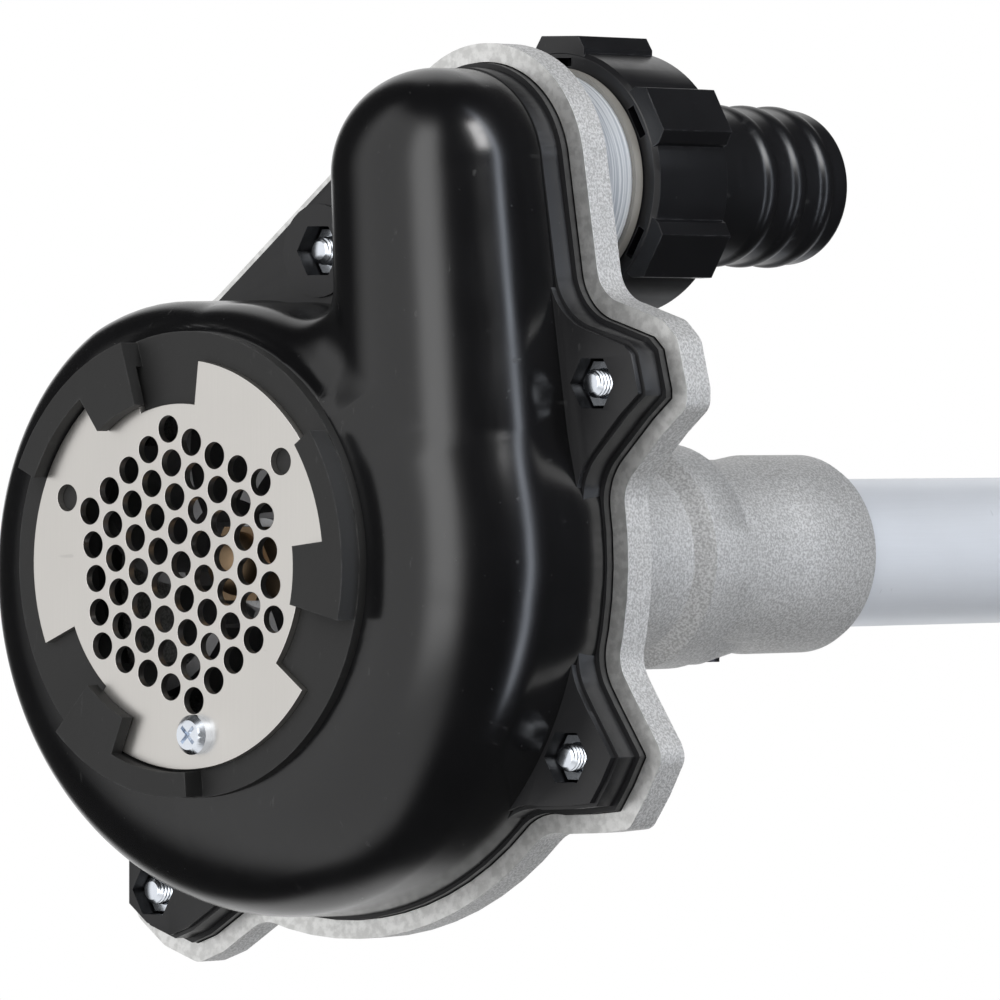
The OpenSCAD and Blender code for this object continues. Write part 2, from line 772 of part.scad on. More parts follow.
// --- Bearings ----------------------------------------------------------------------------

clip_places = [bearing_y[0] - clip_h, bearing_y[1] + bearing_w];

module shaft_circlips() {
    color([0.3, 0.3, 0.32]) placed() for (y = clip_places) difference() {
        ring(shaft_r + 1.8, shaft_r - clip_depth, y, y + clip_h);
        translate([-1.5, y - 1, 0]) cube([3, clip_h + 2, shaft_r + 3]);
    }
}

module bearing_circlip() {
    y = bearing_y[1] + bearing_w;
    color([0.3, 0.3, 0.32]) placed() difference() {
        ring(bearing_r + clip_h - 0.1, bearing_r - 1.8, y, y + clip_h);
        translate([-3, y - 1, -bearing_r - 2]) cube([6, clip_h + 2, bearing_r]);
    }
}

// Groove that the balls run in.
module ball_groove(y) {
    translate([0, y + bearing_w / 2, 0]) rotate([-90, 0, 0]) rotate_extrude($fn = round_fn)
        translate([pitch_r, 0]) circle(ball_r + ball_gap, $fn = 32);
}

module bearing_outer_rings() {
    color([0.72, 0.73, 0.75]) placed() for (y = bearing_y) difference() {
        ring(bearing_r, pitch_r + ring_shoulder, y, y + bearing_w);
        ball_groove(y);
    }
}

module bearing_inner_rings() {
    color([0.72, 0.73, 0.75]) placed() for (y = bearing_y) difference() {
        ring(pitch_r - ring_shoulder, shaft_r, y, y + bearing_w);
        ball_groove(y);
    }
}

module at_balls() {
    for (y = bearing_y, k = [0:ball_count - 1]) rotate([0, 360 / ball_count * k, 0])
        translate([pitch_r, y + bearing_w / 2, 0]) children();
}

module bearing_balls() {
    color([0.8, 0.8, 0.82]) placed() at_balls() sphere(ball_r, $fn = 48);
}

module bearing_cages() {
    color([0.6, 0.45, 0.2]) placed() difference() {
        for (y = bearing_y)
            ring(pitch_r + 0.7, pitch_r - 0.7, y + bearing_w / 2 - ball_r - 0.5,
                y + bearing_w / 2 + ball_r + 0.5);
        at_balls() rotate([0, 90, 0])
            cylinder(r = ball_r + running_gap, h = 4, center = true, $fn = 48);
    }
}

module bearing_spacer() {
    color([0.65, 0.66, 0.68]) placed()
        ring(shaft_r + 1.6, shaft_r, bearing_y[0] + bearing_w, bearing_y[1]);
}

// --- Drive line --------------------------------------------------------------------------

module shaft_coupler() {
    color([0.45, 0.46, 0.48]) placed() difference() {
        rod(coupler_r, coupler_front, coupler_rear);
        rod(shaft_r, coupler_front - 1, shaft_end);
        rod(drive_r, shaft_end - 1, coupler_rear + 1);
    }
}

module spline(y0, y1) {
    rod(drive_r - spline_depth, y0, y1);
    intersection() {
        rod(drive_r, y0, y1);
        for (k = [0:spline_teeth - 1]) rotate([0, k * 360 / spline_teeth, 0])
            translate([0, y0, -0.6]) cube([drive_r + 1, y1 - y0, 1.2]);
    }
}

module drive_shaft() {
    color([0.55, 0.56, 0.58]) placed() {
        spline(drive_front, drive_front + spline_len);
        rod(drive_r, drive_front + spline_len - eps, tube_end + drive_stub - spline_len);
        spline(tube_end + drive_stub - spline_len - eps, tube_end + drive_stub);
    }
}

module tube_socket() {
    color([0.64, 0.63, 0.62]) placed() difference() {
        union() {
            rod(socket_fit_r, socket_front - socket_spigot_len, socket_front + 1);
            turned([[0, socket_front], [socket_r, socket_front], [socket_r, socket_front + 15],
                [socket_end_r, socket_front + 20.6], [socket_end_r, socket_rear - 2],
                [socket_end_r - 0.6, socket_rear - 0.6], [socket_end_r - 2, socket_rear],
                [0, socket_rear]]);
            translate([0, 0, clamp_pad_r - clamp_pad_z]) turned([[0, socket_front],
                [clamp_pad_r, socket_front], [clamp_pad_r, clamp_y - 3],
                [clamp_pad_r - 2.5, clamp_y + 9.5], [0, clamp_y + 9.5]]);
        }
        rod(tube_r - seat_step, tube_front, socket_rear + 1);
        rod(tube_r - tube_wall, socket_front - socket_spigot_len - 1, tube_front + 1);
        translate([0, clamp_y, -clamp_pad_z - 1])
            cylinder(r = clamp_screw_r, h = clamp_pad_z, $fn = 48);
        translate([0, socket_oring_y, 0]) rotate([-90, 0, 0]) rotate_extrude($fn = round_fn)
            translate([socket_fit_r - 1, 0]) circle(1.1, $fn = 32);
    }
}

socket_oring_y = neck_end - 6;

module socket_oring() {
    color([0.1, 0.1, 0.1]) placed() translate([0, socket_oring_y, 0]) rotate([-90, 0, 0])
        rotate_extrude($fn = round_fn) translate([socket_fit_r - 1, 0]) circle(1, $fn = 32);
}

module clamp_screw() {
    color([0.3, 0.3, 0.32]) placed() translate([0, clamp_y, 0]) difference() {
        translate([0, 0, -clamp_pad_z + clamp_sunk])
            cylinder(r = clamp_screw_r, h = clamp_pad_z - tube_r + seat_step - clamp_sunk, $fn = 48);
        translate([0, 0, -clamp_pad_z - 1]) cylinder(d = clamp_screw_r / cos(30), h = 4, $fn = 6);
    }
}

module drive_tube() {
    color([0.72, 0.75, 0.8]) placed() difference() {
        union() {
            rod(tube_r - seat_step, tube_front, socket_rear);
            rod(tube_r, socket_rear, tube_end);
        }
        rod(tube_r - tube_wall, tube_front - 1, tube_end + 1);
        translate([0, tube_end - locator_back, 0]) cylinder(r = locator_r, h = tube_r + 1, $fn = 48);
    }
}

// Bushings that carry the drive shaft: one at each end, and others at most a pitch apart.
module drive_bushings() {
    first = tube_front + 12;
    last = tube_end - bushing_len - 1;
    spans = ceil((last - first) / bushing_pitch);
    color([0.15, 0.15, 0.15]) placed() for (k = [0:spans])
        let (y = first + (last - first) * k / spans)
        ring(tube_r - tube_wall, drive_r + running_gap, y, y + bushing_len);
}

// --- Assembly ----------------------------------------------------------------------------

inlet_ring();
strainer_plate();
strainer_screw();
volute_cover();
cover_screws();
cover_nuts();
cover_washers();
cover_gasket();
back_plate();
outlet_seal_ring();
outlet_nut();
hose_tail();
tail_washer();
impeller();
impeller_washer();
impeller_nut();
shaft_key();
pump_shaft();
seal_bellows();
seal_spring();
seal_carbon_ring();
seal_seat();
seal_cup();
oil_seal();
shaft_circlips();
bearing_outer_rings();
bearing_inner_rings();
bearing_balls();
bearing_cages();
bearing_spacer();
bearing_circlip();
shaft_coupler();
tube_socket();
socket_oring();
clamp_screw();
drive_tube();
drive_bushings();
drive_shaft();
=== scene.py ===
"""Looks of a centrifugal pump head on its drive tube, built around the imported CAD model.

The pump axis runs along Y, the strainer faces -Y and the outlet stands up along +Z. The shape
functions work in millimetres, with y = 0 at the front face of the back plate's rim, and
add_piece() turns them into metres in the row frame.
"""

import json
import math

import bmesh
import bpy
import numpy as np
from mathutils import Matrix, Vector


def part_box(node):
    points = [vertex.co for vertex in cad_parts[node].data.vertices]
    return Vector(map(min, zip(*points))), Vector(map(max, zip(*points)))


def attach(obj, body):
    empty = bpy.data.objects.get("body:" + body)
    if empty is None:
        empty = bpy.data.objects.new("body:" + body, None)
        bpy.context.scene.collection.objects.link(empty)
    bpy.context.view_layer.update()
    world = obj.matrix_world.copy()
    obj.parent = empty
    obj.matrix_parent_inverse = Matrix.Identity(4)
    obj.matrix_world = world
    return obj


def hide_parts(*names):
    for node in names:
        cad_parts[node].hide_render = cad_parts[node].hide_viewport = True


bl_info = {
    "name": "Pump Head Looks",
    "version": (1, 0, 0),
    "blender": (4, 5, 0),
    "location": "View3D > Sidebar > Pump Head",
    "description": "Builds the visible pieces of a tube-mounted pump head around its CAD frame",
    "category": "Object",
}

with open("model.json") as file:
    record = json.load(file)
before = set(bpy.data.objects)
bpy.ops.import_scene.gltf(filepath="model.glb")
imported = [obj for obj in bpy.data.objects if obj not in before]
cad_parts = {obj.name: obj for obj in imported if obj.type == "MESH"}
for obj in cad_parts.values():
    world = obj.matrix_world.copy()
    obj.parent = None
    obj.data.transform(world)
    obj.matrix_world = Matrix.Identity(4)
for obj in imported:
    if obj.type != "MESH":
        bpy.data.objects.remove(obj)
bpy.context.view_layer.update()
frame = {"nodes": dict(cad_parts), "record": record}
MM = 1000.0
RIM_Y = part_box("back_plate")[0].y * MM


def box_mm(node):
    """Lowest and highest corner of a CAD node, in millimetres from the rim's front face."""
    low, high = (np.array(corner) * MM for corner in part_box(node))
    return low - (0, RIM_Y, 0), high - (0, RIM_Y, 0)


SEAL_RING_BOX = box_mm("outlet_seal_ring")
OUTLET = (SEAL_RING_BOX[0] + SEAL_RING_BOX[1]) / 2
COVER_BOX = box_mm("volute_cover")
PLATE_REAR = 6.3         # rear face of the back plate's rim
COLLAR_R = 21.0          # outlet collar of the back plate

# --- Meshes ------------------------------------------------------------------------------


def grid_faces(rows, columns):
    """Quads of a grid whose columns close on themselves: each joins a point, the next one round,
    and the same two in the next row."""
    row, column = np.meshgrid(np.arange(rows - 1), np.arange(columns), indexing="ij")
    after = (column + 1) % columns
    quads = np.stack(
        [row * columns + column, row * columns + after,
         (row + 1) * columns + after, (row + 1) * columns + column], axis=-1)
    return quads.reshape(-1, 4)


def add_piece(name, shells, body, material, sharp_angle=35.0):
    """Makes one object of closed shells, each a pair of points in millimetres and quads."""
    points, faces, start = [], [], 0
    for shell_points, shell_faces in shells:
        points.append(shell_points.reshape(-1, 3))
        faces.append(shell_faces + start)
        start += len(points[-1])
    place = (np.concatenate(points) + (0, RIM_Y, 0)) / MM
    mesh = bpy.data.meshes.new(name)
    mesh.from_pydata(place.tolist(), [], np.concatenate(faces).tolist())
    return finish_piece(name, mesh, body, material, sharp_angle)


def finish_piece(name, mesh, body, material, sharp_angle, recalculate=True):
    """Closes seams and poles, points the faces outwards, and rides the piece on its body."""
    work = bmesh.new()
    work.from_mesh(mesh)
    bmesh.ops.remove_doubles(work, verts=work.verts, dist=2e-6)
    bmesh.ops.dissolve_degenerate(work, edges=work.edges, dist=1e-7)
    if recalculate:
        bmesh.ops.recalc_face_normals(work, faces=work.faces)
    work.to_mesh(mesh)
    work.free()
    mesh.shade_smooth()
    mesh.set_sharp_from_angle(angle=math.radians(sharp_angle))
    mesh.materials.clear()
    mesh.materials.append(material)
    piece = bpy.data.objects.new(name, mesh)
    bpy.context.scene.collection.objects.link(piece)
    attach(piece, body)
    return piece


def lathe(profile, turns=128, centre=(0.0, 0.0)):
    """A profile of (radius, y) carried round an axis along Y: x = radius cos(t), z = radius
    sin(t), moved to the axis's place in X and Z."""
    radius, y = np.array(profile, float).T
    turn = np.linspace(0, 2 * np.pi, turns, endpoint=False)
    points = np.stack(
        [centre[0] + radius[:, None] * np.cos(turn),
         np.repeat(y[:, None], turns, axis=1),
         centre[1] + radius[:, None] * np.sin(turn)], axis=-1)
    return points, grid_faces(len(radius), turns)


def rounded(profile, radius, steps=5):
    """The profile with every inner corner replaced by an arc: a quadratic curve between two
    points that lie a radius, or just under half a side, from the corner."""
    profile = np.array(profile, float)
    out = [profile[0]]
    for before, corner, after in zip(profile[:-2], profile[1:-1], profile[2:]):
        back, on = before - corner, after - corner
        reach = min(radius, 0.45 * np.hypot(*back), 0.45 * np.hypot(*on))
        a = corner + back / np.hypot(*back) * reach
        b = corner + on / np.hypot(*on) * reach
        t = np.linspace(0, 1, steps)[:, None]
        out.extend((1 - t) ** 2 * a + 2 * t * (1 - t) * corner + t**2 * b)
    out.append(profile[-1])
    return np.array(out)


def merged_copy(node, cut_front=None):
    """A bmesh of a CAD node with its doubles merged and its flat faces joined. cut_front, in
    millimetres, cuts away all that stands in front of it and closes the cut."""
    work = bmesh.new()
    work.from_mesh(frame["nodes"][node].data)
    bmesh.ops.remove_doubles(work, verts=work.verts, dist=2e-6)
    if cut_front is not None:
        found = bmesh.ops.bisect_plane(
            work, geom=work.verts[:] + work.edges[:] + work.faces[:], dist=1e-7,
            plane_co=(0, (cut_front + RIM_Y) / MM, 0), plane_no=(0, -1, 0), clear_outer=True)
        rim = [e for e in found["geom_cut"] if isinstance(e, bmesh.types.BMEdge)]
        bmesh.ops.triangle_fill(work, edges=rim, use_beauty=True, normal=(0, -1, 0))
    bmesh.ops.dissolve_limit(
        work, angle_limit=math.radians(0.6), verts=work.verts, edges=work.edges)
    return work


def add_bevelled(name, node, body, material, width, segments=3, edge_angle=32.0,
                 cut_front=None):
    """A copy of a CAD node with its sharp edges rounded to a width in millimetres."""
    work = merged_copy(node, cut_front)
    mesh = bpy.data.meshes.new(name)
    work.to_mesh(mesh)
    work.free()
    piece = finish_piece(name, mesh, body, material, edge_angle, recalculate=False)
    bevel = piece.modifiers.new("edges", "BEVEL")
    bevel.width = width / MM
    bevel.segments = segments
    bevel.limit_method = "ANGLE"
    bevel.angle_limit = math.radians(edge_angle)
    bevel.harden_normals = True
    bevel.use_clamp_overlap = True
    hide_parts(node)
    return piece


# --- Materials ---------------------------------------------------------------------------


class Socket:
    """An output socket of a node, so that sums and products are written as Python."""

    def __init__(self, nodes, socket):
        self.nodes, self.socket = nodes, socket

    def __add__(self, other):
        return self.nodes.math("ADD", self, other)

    def __sub__(self, other):
        return self.nodes.math("SUBTRACT", self, other)

    def __rsub__(self, other):
        return self.nodes.math("SUBTRACT", other, self)

    def __mul__(self, other):
        return self.nodes.math("MULTIPLY", self, other)

    __radd__, __rmul__ = __add__, __mul__


class Nodes:
    """A node tree that is written as Python."""

    def __init__(self, tree):
        self.tree = tree

    def add(self, kind, settings=None, values=None, out=0):
        """Adds any node: its settings first, then the values or links of its sockets."""
        node = self.tree.nodes.new(kind)
        for key, value in (settings or {}).items():
            setattr(node, key, value)
        for key, value in (values or {}).items():
            self.put(node.inputs[key], value)
        return Socket(self, node.outputs[out])

    def put(self, socket, value):
        """Links a socket to a value that is an output, or sets it to a number or colour."""
        if isinstance(value, Socket):
            self.tree.links.new(value.socket, socket)
        elif socket.type == "RGBA":
            socket.default_value = (*value[:3], 1.0)
        else:
            socket.default_value = value

    def math(self, operation, *values):
        """A Math node of an operation on its values."""
        return self.add("ShaderNodeMath", {"operation": operation}, dict(enumerate(values)))

    def between(self, value, low, high, at_low=0.0, at_high=1.0):
        """A smooth step of a value between two limits."""
        return self.add("ShaderNodeMapRange", {"interpolation_type": "SMOOTHSTEP"},
                        {"Value": value, "From Min": low, "From Max": high,
                         "To Min": at_low, "To Max": at_high})

    def mix(self, factor, first, second):
        """A colour from the first, at factor 0, to the second, at factor 1."""
        return self.add("ShaderNodeMix", {"data_type": "RGBA"},
                        {0: factor, 6: first, 7: second}, 2)


class Finish(Nodes):
    """A procedural material on Object coordinates, with a Principled shader."""

    def __init__(self, name):
        self.material = bpy.data.materials.new(name)
        self.material.use_nodes = True
        super().__init__(self.material.node_tree)
        self.shader = self.tree.nodes["Principled BSDF"]
        self.place = self.add("ShaderNodeTexCoord", out="Object")

    def noise(self, size, detail=3.0, stretch=(1, 1, 1), roughness=0.55):
        """Noise from 0 to 1 whose features are about size millimetres, stretched by axis."""
        place = self.add("ShaderNodeMapping", None,
                         {"Vector": self.place, "Scale": [1 / s for s in stretch]})
        return self.add("ShaderNodeTexNoise", None,
                        {"Vector": place, "Scale": MM / size, "Detail": detail,
                         "Roughness": roughness})

    def axis(self, name):
        """One coordinate in millimetres in the row frame."""
        split = self.add("ShaderNodeSeparateXYZ", None, {0: self.place}, "XYZ".index(name))
        return split * MM

    def distance(self, centre, axes="XZ"):
        """Distance in millimetres from a line or point at centre, over the given axes."""
        squares = [self.math("POWER", self.axis(a) - centre[a], 2.0) for a in axes]
        total = squares[0]
        for square in squares[1:]:
            total = total + square
        return self.math("SQRT", total)

    def edge(self, radius, low=0.02, high=0.25):
        """How much a surface point is on an edge: where a rounded normal leaves the real one."""
        soft = self.add("ShaderNodeBevel", {"samples": 4}, {"Radius": radius / MM})
        hard = self.add("ShaderNodeNewGeometry", out="Normal")
        same = self.add("ShaderNodeVectorMath", {"operation": "DOT_PRODUCT"},
                        {0: soft, 1: hard}, "Value")
        return self.between(1.0 - same, low, high)

    def bump(self, height, depth):
        """Feeds Normal with a bump whose height runs from 0 to depth millimetres."""
        out = self.add("ShaderNodeBump", None,
                       {"Height": height, "Distance": depth / MM, "Strength": 1.0})
        self.put(self.shader.inputs["Normal"], out)

    def set(self, **sockets):
        """Sets or links the shader's sockets, whose names have _ for a space."""
        for name, value in sockets.items():
            self.put(self.shader.inputs[name.replace("_", " ")], value)
        return self


def moulded_black(name, colour, gloss, streak, grain, mark_colour=0.05, edge_wear_and_highlight_colour=None):
    """Moulded black plastic: soft streaks in its gloss, faint handling marks, fine grain and, when
    an edge colour is given, lighter edges that are partly wear and partly a painted highlight.
    """
    f = Finish(name)
    streaks = f.noise(2.2, 4.0, (1, 1, 14))
    cloud = f.noise(16.0, 2.0)
    dust = f.between(f.noise(0.9, 2.0), 0.73, 0.78)
    scratch = f.between(f.noise(1.1, 2.0, (1, 9, 3)), 0.68, 0.76)
    marks = f.math("MAXIMUM", dust * 0.5, scratch * 0.3)
    shade = f.mix(cloud, [c * 0.8 for c in colour], [c * 1.3 for c in colour])
    shade = f.mix(marks, shade, [mark_colour] * 3)
    if edge_wear_and_highlight_colour:
        # Lighter edges: partly edge wear, partly a painted highlight along the edges.
        wear_and_edge_highlight = f.edge(0.5) * f.between(f.noise(2.5, 3.0), 0.35, 0.7)
        shade = f.mix(wear_and_edge_highlight, shade, edge_wear_and_highlight_colour)
    rough = streaks * streak + cloud * 0.08 + marks * 0.2 + (gloss - streak / 2)
    f.bump(f.noise(0.35, 2.0) * grain + f.noise(9.0, 1.0) * 0.02, 1.0)
    return f.set(Base_Color=shade, Roughness=rough).material


def cast_metal(name, colour):
    """Die-cast aluminium with a sandy skin, a machined rim face and a turned outlet collar."""
    f = Finish(name)
    grain = f.noise(0.42, 2.0, roughness=0.6)
    blotch = f.noise(7.0, 3.0)
    skin = f.mix(f.between(grain, 0.35, 0.65), (0.40, 0.398, 0.395), colour)
    skin = f.mix(blotch * 0.3, skin, (0.55, 0.548, 0.545))
    depth = f.math("ABSOLUTE", f.axis("Y") - RIM_Y)
    face = f.between(depth, 0.05, 0.12, 1.0, 0.0)
    machined = f.mix(f.between(f.noise(1.6, 3.0), 0.35, 0.65), (0.62, 0.62, 0.61),
                     (0.80, 0.80, 0.79))
    around = f.distance({"X": OUTLET[0], "Z": OUTLET[2]})
    collar_start = RIM_Y + PLATE_REAR + 0.2
    turned = f.between(around, COLLAR_R, COLLAR_R + 0.3, 1.0, 0.0) * f.between(
        f.axis("Y"), collar_start, collar_start + 0.15)
    lines = f.noise(0.4, 2.0, (60, 1, 60))
    silver = f.mix(f.between(lines, 0.3, 0.7), (0.52, 0.56, 0.62), (0.94, 0.97, 1.0))
    colour = f.mix(turned, f.mix(face, skin, machined), silver)
    smooth = f.math("MAXIMUM", face * 0.75, turned)
    rough = (1.0 - smooth) * (0.50 + grain * 0.16) + smooth * (0.24 + lines * 0.12)
    f.bump((1.0 - smooth) * grain * 0.05 + turned * lines * 0.02 + blotch * 0.04, 1.0)
    return f.set(Base_Color=colour, Roughness=rough, Metallic=face * 0.5 + 0.45).material


def drawn_metal(name, colour, rough, lines_size, lines_along="", spread=0.12, depth=0.004,
                metallic=1.0):
    """Drawn, rolled or ground metal: fine lines along one axis and a faint cloudiness."""
    f = Finish(name)
    stretch = {"X": (40, 1, 1), "Y": (1, 40, 1), "Z": (1, 1, 40), "": (1, 1, 1)}[lines_along]
    lines = f.noise(lines_size, 3.0, stretch)
    cloud = f.noise(11.0, 2.0)
    shade = f.mix(lines, [c * (1 - spread) for c in colour], colour)
    shade = f.mix(cloud * 0.25, shade, [min(c * (1 + spread), 1.0) for c in colour])
    stain = f.between(f.noise(24.0, 4.0), 0.35, 0.75)
    shade = f.mix(stain * 0.3, shade, [c * (1 - spread) for c in colour])
    scratch = f.between(f.noise(1.4, 2.0, (7, 1, 2)), 0.74, 0.80)
    shade = f.mix(scratch * 0.25, shade, [c * 0.5 for c in colour])
    f.bump(lines * depth, 1.0)
    return f.set(Base_Color=shade, Roughness=lines * 0.14 + cloud * 0.06 + (rough - 0.1),
                 Metallic=metallic).material


def dull(name, colour, rough, grain_size=0.4, grain=0.02):
    """A plain non-metal, such as rubber, cream plastic, carbon or ceramic, with fine grain."""
    f = Finish(name)
    fine = f.noise(grain_size, 3.0)
    cloud = f.noise(6.0, 2.0)
    shade = f.mix(cloud, [c * 0.85 for c in colour], [min(c * 1.12, 1.0) for c in colour])
    f.bump(fine * grain, 1.0)
    return f.set(Base_Color=shade, Roughness=fine * 0.15 + (rough - 0.07)).material


# What makes the finish of each material, and its settings. Its colour is in PumpColours.
FINISHES = {
    "cover_plastic": (moulded_black, {"gloss": 0.17, "streak": 0.08, "grain": 0.004}),
    "lug_plastic": (moulded_black, {"gloss": 0.34, "streak": 0.08, "grain": 0.008}),
    "ring_plastic": (moulded_black, {"gloss": 0.55, "streak": 0.06, "grain": 0.02,
                                     "mark_colour": 0.06, "edge_wear_and_highlight_colour": (0.06, 0.06, 0.06)}),
    "fitting_plastic": (moulded_black, {"gloss": 0.27, "streak": 0.10, "grain": 0.006,
                                        "edge_wear_and_highlight_colour": (0.07, 0.07, 0.075)}),
    "cast_aluminium": (cast_metal, {}),
    "stainless": (drawn_metal, {"rough": 0.34, "lines_size": 0.5, "lines_along": "Z"}),
    "zinc_steel": (drawn_metal, {"rough": 0.22, "lines_size": 0.8, "spread": 0.15}),
    "anodised_aluminium": (drawn_metal, {"rough": 0.45, "lines_size": 0.35, "lines_along": "Y",
                                         "spread": 0.06, "depth": 0.003, "metallic": 0.35}),
    "seal_cream": (dull, {"rough": 0.5}),
    "black_rubber": (dull, {"rough": 0.6}),
    "brass": (drawn_metal, {"rough": 0.45, "lines_size": 0.6, "spread": 0.2}),
    "impeller_metal": (drawn_metal, {"rough": 0.5, "lines_size": 0.7, "spread": 0.35,
                                     "depth": 0.03}),
    "ground_steel": (drawn_metal, {"rough": 0.3, "lines_size": 0.4, "spread": 0.1}),
    "spring_steel": (drawn_metal, {"rough": 0.4, "lines_size": 0.4, "spread": 0.2}),
    "ceramic": (dull, {"rough": 0.3}),
    "carbon": (dull, {"rough": 0.35}),
}
MATERIALS = {}


def material(name):
    """The material of that name, made once."""
    if name not in MATERIALS:
        make, settings = FINISHES[name]
        colour = tuple(getattr(bpy.context.scene.pump_colours, name))
        MATERIALS[name] = make(name, colour, **settings)
    return MATERIALS[name]


# --- Volute cover ------------------------------------------------------------------------

COVER_FRONT = COVER_BOX[0][1]
COVER_REAR = COVER_BOX[1][1]
LUG_FRONT = 7.2          # how far the lugs stand in front of the rim
LUG_CUT = 0.65           # how far in front of the lugs their copy is cut off
TONGUE = 95.0            # angle of the volute's tongue, in degrees
SPIRAL = 90.0            # angle over which the volute covers all but 1/e of its rise
SPIRAL_END = 10.0        # angle, one turn on, at which the spiral ends
STEP_START = 20.0        # angle at which the outline starts to step back under the tower
STEP_SPAN = 28.0         # angle over which it does so
DRAFT = 0.5              # how much the cover widens from its front edge to its rear
LEDGE = 0.6              # how far the cover's outline stands inside its ledge
HOLE_R = 30.6            # hole in the cover's front, under the bayonet ring
SEAT_R = 41.5            # flat seat under the bayonet ring
SEAT_EDGE = 1.0          # rounding of the seat's edge
NOTCH = (18.0, 44.0)     # X and Z of the notch between the volute and the tower
NOTCH_SPREAD = 15.0      # how far the notch's wider fillet reaches
GATE_MARK = (37.0, 47.7)  # X and Z of the moulding gate's mark
VIEW_POINT = (30.0, 25.0)  # a point in X and Z that sees the cover's whole outline
SPINE_Y = -11.0          # line inside the cover's edge that the surface's rays fan out from
SPINE_INSET = 7.0        # how far inside the outline that line runs
SPINE_WINDOW = 15        # columns over which its inset is averaged
LEAST_FACING = 0.42      # the most slanting outline that the inset allows for, as a cosine
REACH_OUT = 130.0        # longer than any ray from VIEW_POINT to the outline
REACH = 60.0             # longer than any other ray


def volute_radius(angle, size):
    """Outline of the volute over the angle: the full radius less a rise that dies away
    exponentially from the tongue, and a smooth step back to the tongue under the tower."""
    angle = np.mod(angle, 360.0)
    swept = np.where(angle < SPIRAL_END, angle + 360.0, angle)
    spiral = size.volute_r * MM - size.volute_rise * MM * np.exp(
        -np.maximum(swept - TONGUE, 0.0) / SPIRAL)
    step = np.clip((angle - STEP_START) / STEP_SPAN, 0.0, 1.0)
    step = step * step * (3 - 2 * step)
    full = size.volute_r * MM - size.volute_rise * MM * math.exp(
        -(SPIRAL_END + 360.0 - TONGUE) / SPIRAL)
    low = (size.volute_r - size.volute_rise) * MM
    under = full + (low - full) * step
    return np.where((angle >= SPIRAL_END) & (angle < TONGUE), under, spiral) - LEDGE


def rounded_box_distance(across, forward, edge):
    """Distance from a solid whose corner is rounded: both lengths count outside it, and the
    larger of the two inside it."""
    return (np.hypot(np.maximum(across, 0), np.maximum(forward, 0))
            + np.minimum(np.maximum(across, forward), 0) - edge)


def smooth_union(first, second, blend):
    """The smaller of two distances, less blend / 4 where they are equal, fading to nothing
    where they differ by blend."""
    near = np.maximum(blend - np.abs(first - second), 0) / blend
    return np.minimum(first, second) - near * near * blend / 4


def tower_line(x, z, size):
    """How far up the tower's centre line a point is, from 0 to 1, and its distance from it."""
    foot_x = volute_radius(np.array(0.0), size) - DRAFT - size.tower_foot_r * MM
    top = np.array((size.outlet_x * MM, (size.outlet_z + size.dome_rise) * MM))
    run = top - (foot_x, 0.0)
    share = np.clip(((x - foot_x) * run[0] + z * run[1]) / (run @ run), 0, 1)
    return share, np.hypot(x - foot_x - run[0] * share, z - run[1] * share)


def cover_distance(x, y, z, size):
    """Signed distance from the cover's outside: a volute with a rounded front edge, joined
    smoothly to a round-backed tower and to the flat seat of the bayonet ring."""
    rho = np.hypot(x, z)
    radius = volute_radius(np.degrees(np.arctan2(z, x)), size)
    edge = np.clip(radius - DRAFT - SEAT_R, size.tongue_edge * MM, size.tower_foot_r * MM)
    front = COVER_FRONT
    lean = DRAFT * np.clip((y - front - edge) / (COVER_REAR - front - edge), 0, 1)
    volute = rounded_box_distance(rho - (radius - DRAFT - edge), front + edge - y, edge) - lean
    share, away = tower_line(x, z, size)
    tower_r = (size.tower_foot_r + (size.tower_r - size.tower_foot_r) * share) * MM
    middle = front + size.tower_lean * MM * share + tower_r
    tower = np.hypot(away, np.minimum(y - middle, 0)) - tower_r
    notch = np.exp(-((x - NOTCH[0]) ** 2 + (z - NOTCH[1]) ** 2) / (2 * NOTCH_SPREAD**2))
    body = smooth_union(volute, tower, 1.0 + size.notch_fillet * MM * notch)
    seat = rounded_box_distance(rho - (SEAT_R - SEAT_EDGE), front + SEAT_EDGE - y, SEAT_EDGE)
    return smooth_union(body, seat, 1.5)


def solve(origin, heading, reach, level, size):
    """Where rays from inside the cover reach a level of its distance, by 26 halvings."""
    low = np.zeros(origin.shape[:-1])
    high = np.full(origin.shape[:-1], float(reach))
    for _ in range(26):
        middle = (low + high) / 2
        p = origin + heading * middle[..., None]
        inside = cover_distance(p[..., 0], p[..., 1], p[..., 2], size) < level
        low, high = np.where(inside, middle, low), np.where(inside, high, middle)
    return origin + heading * low[..., None]


